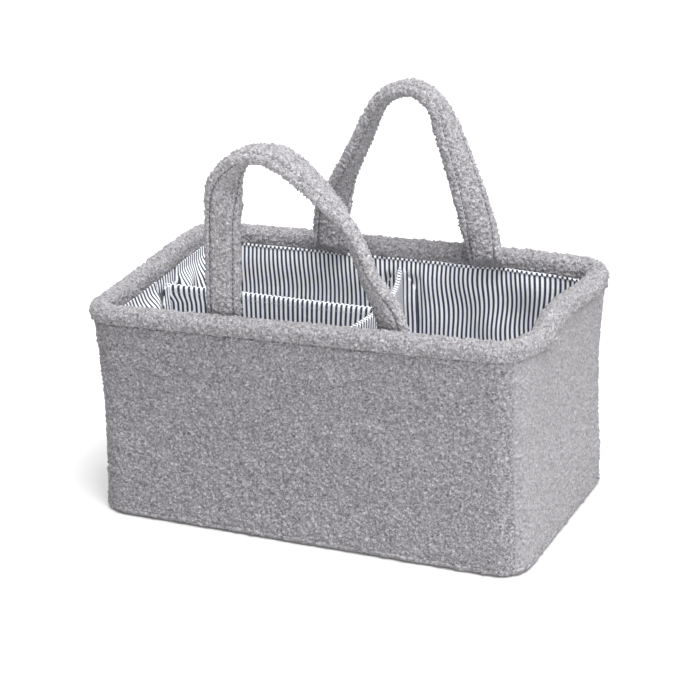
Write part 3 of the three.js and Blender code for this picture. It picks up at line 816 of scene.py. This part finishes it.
def stitched_row_tree():
    """Geometry nodes that lay one stitch after another along a line."""
    inputs = (
        ("Geometry", "Geometry", None),
        ("Pitch", "Float", THREAD_PITCH),
        ("Length", "Float", THREAD_LENGTH),
        ("Thickness", "Float", THREAD_THICKNESS),
        ("Thread", "Material", None),
    )
    outputs = [("Geometry", "Geometry")]
    tree, add, _, enter = new_tree("stitched_row", "GeometryNodeTree", inputs, outputs)
    line = add("GeometryNodeMeshToCurve", {"Mesh": enter["Geometry"]})[0]
    spaced = add("GeometryNodeResampleCurve", {"Curve": line, "Length": enter["Pitch"]}, mode="LENGTH")[0]
    stitch = add("GeometryNodeMeshUVSphere", {"Segments": 6, "Rings": 5, "Radius": 0.5})["Mesh"]
    sides = [enter["Thickness"], enter["Thickness"], enter["Length"]]
    size = add("ShaderNodeCombineXYZ", enumerate(sides))[0]
    tangent = add("GeometryNodeInputTangent")[0]
    aim = add("FunctionNodeAlignRotationToVector", {"Vector": tangent}, axis="Z")[0]
    laid = {"Points": spaced, "Instance": stitch, "Rotation": aim, "Scale": size}
    leave_dressed(add, add("GeometryNodeInstanceOnPoints", laid)[0], enter["Thread"])
    return tree


STITCHED_ROW = stitched_row_tree()


def spun_thread(name, colour):
    """Twisted sewing thread."""

    def look(add):
        twist = {"Vector": add("ShaderNodeTexCoord")["Object"], "Scale": 3500}
        return two_tone(add, add("ShaderNodeTexNoise", twist)[0], colour, 0.6)

    return new_material(name, look, (1.0, 0.0001), {"Roughness": 0.6})


STRAP_SIDES = {"front": -1, "back": 1}
STRAP_FEET = {"front": (-0.0720, 0.0796), "back": (-0.0560, 0.0910)}  # x of each sewn end
# The sewing thread is real, but it is made this dark as painted shade: the shadow in the ditches where the
# seams sink into the pile.
SHADE_DARK_THREAD = spun_thread("grey_thread", (0.11, 0.11, 0.13))
PALE_THREAD = spun_thread("pale_thread", (0.62, 0.62, 0.64))


def stitched(name, lines, thread, **values):
    """Rows of stitches along lines of points; a line that ends where it starts goes all round."""
    points, edges = [], []
    for line in lines:
        start = len(points)
        points += np.asarray(line).tolist()
        edges += [(i, i + 1) for i in range(start, len(points) - 1)]
    piece = made(mesh_of(name, points, [], edges), STITCHED_ROW, thread=thread, **values)
    piece.data.polygons.foreach_set("use_smooth", [True] * len(piece.data.polygons))
    return piece


centre, way = plan_loop(0.003)
at_foot = 0
for name, feet in STRAP_FEET.items():
    for x in feet:
        beside = np.exp(-(((centre[:, 0] - x) / 0.015) ** 6))
        at_foot = at_foot + beside * (way[:, 1] * STRAP_SIDES[name] > 0.9)

outer_row = (SKIN_DEPTH + 0 * at_foot, BAND_BOTTOM + 0.0002)
inner_row = (BAND_IN - 0.0026 + 0.0062 * at_foot, BAND_BOTTOM - 0.0004)
lines = []
for depth, height in (outer_row, inner_row):
    loop = on_wall(centre, way, depth[:, None], np.array([height]))[:, 0]
    lines.append(np.vstack([loop, loop[:1]]))

seams = stitched("rim_band_stitches", lines, SHADE_DARK_THREAD)
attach(seams, "basket")

# Handles. Each is a tube of pile cloth over a strip of webbing, pressed flat by two rows of
# stitches near its edges. Its ends are tucked between the rim band and the lining and sewn
# there, so the strap bends where it leaves the rim.
STRAP_WIDTH = 0.031
STRAP_THICKNESS = 0.0125
STRAP_Y = 0.084507
FOLD_HEIGHT = 0.20425
ARCH_FOOT = FOLD_HEIGHT + 0.00655
STRAP_STITCH = 0.0052  # from the strap's edge to its rows of stitches
STRAP_SPACING = 0.00095  # of the mesh
HANDLES = {  # x, z and turn along each arch, between the places where it folds
    "front": {
        "ends": ((-0.0715, 0), (0.0710, math.radians(24))),
        "arch": [
            (-0.0694, 0.2413, 2), (-0.0671, 0.2740, 6), (-0.0634, 0.2994, 58), (-0.0494, 0.3175, 84),
            (-0.0225, 0.3217, 98), (-0.0028, 0.3126, 98), (0.0239, 0.2891, 83), (0.0430, 0.2660, 60),
            (0.0591, 0.2286, 46),
        ],
    },
    "back": {
        "ends": ((-0.0535, 0), (0.0885, math.pi)),
        "arch": [
            (-0.0505, 0.2280, 22), (-0.0424, 0.2500, 66), (-0.0227, 0.2882, 82), (0.0010, 0.3298, 90),
            (0.0282, 0.3396, 86), (0.0488, 0.3270, 88), (0.0582, 0.3048, 104), (0.0732, 0.2627, 121),
            (0.0832, 0.2290, 142),
        ],
    },
}


def smooth_line(points, steps):
    """A smooth curve through points, with its other values between them."""
    points = np.array(points, float)
    points = np.vstack([2 * points[0] - points[1], points, 2 * points[-1] - points[-2]])
    place = points[:, :2]
    knots = np.concatenate([[0], np.cumsum(np.sqrt(np.linalg.norm(np.diff(place, axis=0), axis=1)))])
    line = []
    for i in range(1, len(points) - 2):
        t0, t1, t2, t3 = knots[i - 1 : i + 3]
        p0, p1, p2, p3 = points[i - 1 : i + 3]
        m1 = (t2 - t1) * ((p1 - p0) / (t1 - t0) - (p2 - p0) / (t2 - t0) + (p2 - p1) / (t2 - t1))
        m2 = (t2 - t1) * ((p2 - p1) / (t2 - t1) - (p3 - p1) / (t3 - t1) + (p3 - p2) / (t3 - t2))
        for t in np.linspace(0, 1, steps, endpoint=False):
            line.append(
                (2 * t**3 - 3 * t**2 + 1) * p1 + (t**3 - 2 * t**2 + t) * m1
                + (3 * t**2 - 2 * t**3) * p2 + (t**3 - t**2) * m2
            )
    line.append(points[-2])
    return np.array(line)


def softened(values, reach):
    """A moving average that keeps both ends."""
    padded = np.pad(values, ((reach, reach), (0, 0)), mode="edge")
    kernel = np.hanning(2 * reach + 3)[1:-1]
    kernel /= kernel.sum()
    return np.stack([np.convolve(padded[:, i], kernel, "valid") for i in range(values.shape[1])], 1)


def strap_line(name, spacing):
    """Places along a strap: its middle, its turn, how full it is, and how far from the nearer end."""
    side = STRAP_SIDES[name]
    feet = []
    for foot, (x, turn) in zip(STRAP_FEET[name], HANDLES[name]["ends"]):
        low = BAND_BOTTOM + 0.0004 + 0.86 * float(rim_lift(np.float64(foot), np.float64(side * STRAP_Y)))
        feet.append([(foot, low, turn), (0.3 * foot + 0.7 * x, low + 0.7 * (ARCH_FOOT - low), turn)])
    arch = [(x, z, math.radians(turn)) for x, z, turn in HANDLES[name]["arch"]]
    line, even = evened(smooth_line([*feet[0], *arch, *feet[1][::-1]], 24), spacing)
    line = softened(line, max(round(0.006 / spacing), 1))
    from_end = np.minimum(even, even[-1] - even)
    full = 0.28 + 0.72 * smooth_step(from_end, 0.0, 0.014)
    y = side * (STRAP_Y + 0.0064 * (1 - smooth_step(from_end, 0.0, 0.012)))
    return np.column_stack([line[:, 0], y, line[:, 1]]), line[:, 2], full, from_end


def strap_outline(width, thickness, spacing, crease=0.0):
    """A strap's section: rounded edges, and a dent where each row of stitches pulls it in."""
    half = width / 2
    u = half * np.sin(np.linspace(-math.pi / 2, math.pi / 2, 400))
    v = thickness / 2 * (1 - np.abs(u / half) ** 4.2) ** 0.5
    v = np.clip(v - crease * hump(np.abs(u), half - STRAP_STITCH, 0.0016), 0, None)
    loop = np.vstack([np.column_stack([u, v])[:-1], np.column_stack([u, -v])[::-1]])
    return evened(loop, spacing, closed=True)[0]


def strap_grid(name, outline, spacing):
    """A section carried along a strap, and how far each place is from the strap's nearer end."""
    middle, turn, full, from_end = strap_line(name, spacing)
    along = np.gradient(middle[:, ::2], axis=0)
    along /= np.linalg.norm(along, axis=1, keepdims=True)
    sideways = np.column_stack([along[:, 1], 0 * turn, -along[:, 0]])
    away = np.array([0, 1, 0])
    wide = sideways * np.cos(turn)[:, None] + away * np.sin(turn)[:, None]
    thick = away * np.cos(turn)[:, None] - sideways * np.sin(turn)[:, None]
    wide = wide[:, None] * outline[None, :, :1]
    thick = thick[:, None] * outline[None, :, 1:] * full[:, None, None]
    return middle[:, None] + wide + thick, from_end


def bends_at_the_rim(piece):
    """Bakes the strap's placement into its points."""
    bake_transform(piece)


# A lighter copy of the pile cloth for the straps: painted light for their tops, which catch the light from
# above.
STRAP_LIT_PILE = pile_cloth("strap_pile", (0.57, 0.553, 0.580), (0.12, 0.115, 0.123))
STITCH_PLACE = STRAP_WIDTH / 2 - STRAP_STITCH
STITCH_LIFT = STRAP_THICKNESS / 2 - 0.0024
for name in HANDLES:
    size = (STRAP_WIDTH - 2 * BAND_SKIN, STRAP_THICKNESS - 2 * BAND_SKIN)
    outline = strap_outline(*size, STRAP_SPACING, crease=0.0019)
    grid, from_end = strap_grid(name, outline, STRAP_SPACING)
    strap = grid_piece(f"{name}_handle_strap", grid)
    row = np.abs(np.abs(outline[:, 0]) - STITCH_PLACE) < 0.0014
    share = (0.2 + 0.8 * smooth_step(from_end, 0, 0.004))[:, None] * np.where(row, 0.15, 1)[None, :]
    curled(strap, grid, share, False, cloth=STRAP_LIT_PILE, clump_size=0.013, clump_height=0.0011)
    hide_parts(f"{name}_handle_cover", f"{name}_handle_end_left", f"{name}_handle_end_right")
    bends_at_the_rim(strap)
    rows = np.array([(u, v) for v in (STITCH_LIFT, -STITCH_LIFT) for u in (STITCH_PLACE, -STITCH_PLACE)])
    lines = strap_grid(name, rows, 0.004)[0][3:-3].transpose(1, 0, 2)
    seams = stitched(f"{name}_handle_stitches", lines, SHADE_DARK_THREAD, thickness=0.0009)
    bends_at_the_rim(seams)

# Webbing. A flat woven tape runs inside each strap from one sewn end to the other and carries
# the load, so that the soft cloth round it doesn't stretch.
WEBBING_WIDTH = 0.021
WEBBING_THICKNESS = 0.004


def woven_tape(name, colour, yarn=0.0011):
    """Woven tape: ribs across it and finer yarns along it."""

    def look(add):
        weave = {"Vector": add("ShaderNodeTexCoord")["Object"], "Scale": 0.35 / yarn, "Distortion": 1.4}
        return two_tone(add, add("ShaderNodeTexMagic", weave, turbulence_depth=0)["Fac"], colour, 0.7)

    return new_material(name, look, (0.5, 0.0003), {"Roughness": 0.8})


WEBBING = woven_tape("webbing", (0.66, 0.66, 0.68))
for name in HANDLES:
    outline = strap_outline(WEBBING_WIDTH, WEBBING_THICKNESS, 0.0022)
    grid, from_end = strap_grid(name, outline, 0.0035)
    core = grid_piece(f"{name}_handle_core", grid[from_end > 0.036], material=WEBBING)
    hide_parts(f"{name}_handle_webbing")
    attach(core, f"{name}_handle")

# Divider. Two thin boards in sleeves of the striped cotton, sewn to each other in a T. The
# cross one bows to the right between the long walls, and its back end is drawn up a little.
# Each top edge is turned over, so the stripes there are out of step with those below.
DIVIDER_THICKNESS = 0.005
DIVIDER_BOTTOM = 0.0139
DIVIDER_TOP = 0.1709
DIVIDER_CLOTH = 0.001
CROSS_X = 0.010
CROSS_BOW = 0.015
LONG_Y = 0.005
DIVIDER_DEPTH = 0.0216


def cross_bow(y, height):
    half = WIDTH / 2 - DIVIDER_DEPTH
    up = np.clip((height - DIVIDER_BOTTOM) / (DIVIDER_TOP - DIVIDER_BOTTOM), 0, None)
    return CROSS_BOW * np.clip(1 - (y / half) ** 2, 0, None) * up


def sleeve_outline(spacing):
    """Offsets and heights round a sleeve that is open at the foot: outside, then inside."""
    half = DIVIDER_THICKNESS / 2
    inner = half - DIVIDER_CLOTH
    shoulder = DIVIDER_TOP - half
    up = np.linspace(DIVIDER_BOTTOM, shoulder, round((shoulder - DIVIDER_BOTTOM) / spacing))

    def over(radius, count):
        turn = np.linspace(0, math.pi, count)[1:-1]
        return [(-radius * math.cos(a), shoulder + radius * math.sin(a)) for a in turn]

    outside = [(-half, z) for z in up] + over(half, 9) + [(half, z) for z in up[::-1]]
    inside = [(inner, z) for z in up] + over(inner, 7)[::-1] + [(-inner, z) for z in up[::-1]]
    return np.array(outside + inside), len(outside)


def sleeve(name, place_of, length, spacing):
    """A sleeve along a divider: place_of gives the points for a share of its length."""
    outline, count = sleeve_outline(spacing)
    shares = np.linspace(0, 1, round(length / spacing) + 1)
    grid = np.stack([place_of(share, outline[:, 0], outline[:, 1]) for share in shares])
    piece = grid_piece(name, grid, material=STRIPES)
    u = path_length(grid[:, 5])[:, None]
    heights = np.broadcast_to(outline[:, 1], grid.shape[:2])
    sway = 0.0004 * np.sin(70 * heights + 20 * u)
    turned_over = (outline[:, 1] > DIVIDER_TOP - 0.0005) & (np.arange(len(outline)) < count)
    give_uv(piece, u + sway, heights, np.concatenate([np.tile(turned_over, len(grid) - 1), [False, False]]))
    return piece


def cross_place(share, offset, height):
    """Places on the cross divider."""
    end = WIDTH / 2 - DIVIDER_DEPTH
    y = -end + 2 * end * share
    x = CROSS_X + cross_bow(y, height) + offset
    drawn_up = 0.0068 * hump((1 - share) * 2 * end, 0, 0.022) - 0.0004 * np.sin(math.pi * share) ** 2
    up = np.clip(height / DIVIDER_TOP, 0, 1)
    return np.column_stack([x, np.full_like(x, y), height + drawn_up * up**4])


def long_place(share, offset, height):
    """Places on the long divider, from the left wall to the cross divider."""
    left = -LENGTH / 2 + DIVIDER_DEPTH
    right_end = CROSS_X + cross_bow(LONG_Y, height) - DIVIDER_THICKNESS / 2 - 0.0003
    to_lining = 0.0062 * smooth_step(height, 0.154, 0.164) * (1 - share) ** 12
    x = left + (right_end - left) * share - to_lining
    x = x + spread(x, LONG_Y, height)
    bend = 0.0005 * np.sin(2 * math.pi * share) * np.clip(height / DIVIDER_TOP, 0, 1) ** 2
    return np.column_stack([x, LONG_Y + offset + bend, height])


DIVIDERS = (
    ("cross", cross_place, WIDTH - 2 * DIVIDER_DEPTH),
    ("long", long_place, LENGTH / 2 - DIVIDER_DEPTH + CROSS_X),
)
for name, place_of, length in DIVIDERS:
    cover = sleeve(f"{name}_divider_sleeve", place_of, length, 0.0022)
    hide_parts(f"{name}_divider_cover")
    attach(cover, "divider")
    finished_node(f"{name}_divider_board", STIFF_BOARD)
    rows = []
    for side in (-1, 1):
        face, low = np.array([side * (DIVIDER_THICKNESS / 2 + 0.0001)]), np.array([DIVIDER_TOP - 0.0062])
        rows.append(np.vstack([place_of(share, face, low) for share in np.linspace(0.01, 0.99, 60)]))
    fine = {"pitch": 0.0032, "length": 0.0024, "thickness": 0.0004}
    seams = stitched(f"{name}_divider_stitches", rows, PALE_THREAD, **fine)
    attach(seams, "divider")

# Flanges. A tab of the striped cotton is sewn across each outer end of the divider. It lies
# against the wall, carries the hook tape on its back, and is gathered where it closes the sleeve.
FLANGE_WIDTH = 0.029
FLANGE_HEIGHT = 0.146
FLANGE_FOOT = 0.0196
FLANGE_DEPTH = 0.0199
FLANGE_THICKNESS = 0.0014
GATHERED_HEIGHT = 0.022


def standing(wall, along, depth, height):
    """Points that stand against a wall, from places along it, depths inwards and heights."""
    reach = (WIDTH, LENGTH)[wall % 2] / 2
    c, s = WALL_TURNS[wall]
    x, y = c * along - s * (depth - reach), s * along + c * (depth - reach)
    return np.stack([x + spread(x, y, height), y, height], -1)


def standing_tab(name, wall, along, depth, size, foot, material, columns=16, rows=60, gathered=0.0):
    """A thin tab with rounded corners that stands against a wall, gathered at its top."""
    width, height, thickness = size
    corner = 0.004
    z = np.linspace(0, height, rows)[:, None]
    near_end = np.clip(corner - np.minimum(z, height - z), 0, corner)
    half = width / 2 - (corner - np.sqrt(corner**2 - near_end**2))
    half = half * (1 - gathered * smooth_step(z, height - GATHERED_HEIGHT, height))
    across = np.linspace(-1, 1, columns)
    u = half * np.concatenate([across, across[::-1]])
    front = np.repeat([1, 0], columns)
    out = depth + front * (thickness + 0.0004 * np.sin(160 * z))
    grid = standing(wall, u + along, out, np.broadcast_to(foot + z, u.shape))
    piece = grid_piece(name, grid, material=material)
    give_uv(piece, u, np.broadcast_to(z, u.shape))
    return piece


DIVIDER_ENDS = (  # with how much higher the tab is than its flange, and how far it is gathered
    ("front", "cross", 0, CROSS_X, 0.0055, 0.3),
    ("back", "cross", 2, -CROSS_X, 0.0125, 0.7),
    ("left", "long", 3, -LONG_Y, 0.0055, 0.3),
)
for name, divider, wall, along, higher, gathered in DIVIDER_ENDS:
    size = (FLANGE_WIDTH, FLANGE_HEIGHT + higher, FLANGE_THICKNESS)
    place = (wall, along, FLANGE_DEPTH, size, FLANGE_FOOT)
    tab = standing_tab(f"{divider}_divider_tab_{name}", *place, STRIPES, gathered=gathered)
    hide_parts(f"{divider}_divider_flange_{name}")
    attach(tab, "divider")

# Hook-and-loop tapes. The loop tape is sewn on the lining behind each flange, and the hook tape on the
# flange's back. Both are drawn as plain woven tape, without the loop tape's low fuzzy nap or the hook tape's
# rows of tiny hooks.
TAPE_WIDTH = 0.025
TAPE_HEIGHT = 0.126
TAPE_FOOT = 0.0296
LOOP_TAPE_DEPTH = 0.0121
LOOP_TAPE_THICKNESS = 0.0015
HOOK_TAPE_DEPTH = 0.0184
HOOK_TAPE_THICKNESS = 0.0012
TAPE_WHITE = woven_tape("tape_ground", (0.70, 0.70, 0.71), yarn=0.0007)

for name, divider, wall, along, _, _ in DIVIDER_ENDS:
    size = (TAPE_WIDTH, TAPE_HEIGHT, HOOK_TAPE_THICKNESS)
    place = (wall, along, HOOK_TAPE_DEPTH, size, TAPE_FOOT)
    hooks = standing_tab(f"hook_tape_{name}_ground", *place, TAPE_WHITE, columns=10, rows=40)
    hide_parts(f"hook_tape_{name}")
    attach(hooks, "divider")
    centre, way, arc = wall_stations(wall, 0.002)
    near = np.abs(arc - along) <= TAPE_WIDTH / 2
    top = TAPE_FOOT + TAPE_HEIGHT
    section = rounded_section(LOOP_TAPE_DEPTH, LOOP_TAPE_THICKNESS, TAPE_FOOT, top, 40, edge=0.0005)
    grid = on_wall(centre[near], way[near], section[:, 0], section[:, 1])
    loops = grid_piece(f"loop_tape_{name}_nap", grid, material=TAPE_WHITE)
    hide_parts(f"loop_tape_{name}")
    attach(loops, "basket")

# Floor, light and camera. A pale paper floor, a wide soft light from above and two softboxes low
# at the right and behind. The camera looks down at the basket from the front and right.
FLOOR_REACH = 30
corners = [(x * FLOOR_REACH, y * FLOOR_REACH, 0) for x, y in ((-1, -1), (1, -1), (1, 1), (-1, 1))]
floor = mesh_of("floor", corners, [(0, 1, 2, 3)])
paper = bpy.data.materials.new("floor_paper")
paper.use_nodes = True
shader = paper.node_tree.nodes["Principled BSDF"].inputs
shader["Base Color"].default_value = (0.55, 0.55, 0.55, 1)
shader["Roughness"].default_value = 0.9
floor.data.materials.append(paper)
floor.location.z = -0.0004

VIEW_ROUND = math.radians(24.9115)
VIEW_DOWN = math.radians(20.8391)
VIEW_ROLL = math.radians(-2.1901)
VIEW_PLACE = Vector((0.646165, -1.391846, 0.716000))
FOCAL_LENGTH = 1946.427  # in pixels of the photograph
PHOTO_WIDTH = 700
SENSOR_WIDTH = 36
camera_data = bpy.data.cameras.new("camera")
camera = placed("camera", camera_data)
bpy.context.scene.camera = camera
level_view = Matrix.Rotation(VIEW_ROUND, 4, "Z") @ Matrix.Rotation(math.pi / 2 - VIEW_DOWN, 4, "X")
camera.matrix_world = Matrix.Translation(VIEW_PLACE) @ level_view @ Matrix.Rotation(VIEW_ROLL, 4, "Z")
camera_data.sensor_fit = "HORIZONTAL"
camera_data.sensor_width = SENSOR_WIDTH
camera_data.lens = FOCAL_LENGTH / PHOTO_WIDTH * SENSOR_WIDTH
camera_data.clip_end = 100

world = bpy.data.worlds.new("studio")
bpy.context.scene.world = world
world.use_nodes = True
add, number = node_maker(world.node_tree)
paths = add("ShaderNodeLightPath")
seen = number("MAXIMUM", paths["Is Camera Ray"], paths["Is Glossy Ray"])
seen = number("MAXIMUM", seen, paths["Is Transmission Ray"])
height = add("ShaderNodeSeparateXYZ", {0: add("ShaderNodeTexCoord")["Object"]})[2]
sky = add("ShaderNodeMapRange", {"Value": height, "To Min": 0.14, "To Max": 1.50})[0]
strength = add("ShaderNodeMapRange", {"Value": seen, "To Min": sky, "To Max": 1.0})[0]
background = world.node_tree.nodes["Background"].inputs
world.node_tree.links.new(strength, background["Strength"])
background["Color"].default_value = (1, 1, 1, 1)


def lamp(name, kind, energy, way, place=(0, 0, 0)):
    """A lamp that shines against a direction, which leads from what it lights to the lamp."""
    data = bpy.data.lights.new(name, kind)
    data.energy = energy
    light = placed(name, data)
    light.location = place
    light.rotation_euler = Vector(way).to_track_quat("Z", "Y").to_euler()
    return data


lamp("softbox", "SUN", 3.7, (0.30, -0.22, 0.93)).angle = math.radians(35)
for name, energy, place in (
    ("side_softbox", 6.4, (0.75, -0.80, 0.35)),
    ("back_softbox", 4.0, (-0.75, 0.85, 0.40)),
):
    lamp(name, "AREA", energy, (place[0], place[1], place[2] - 0.1), place).size = 0.5

bpy.context.scene.view_settings.view_transform = "Standard"
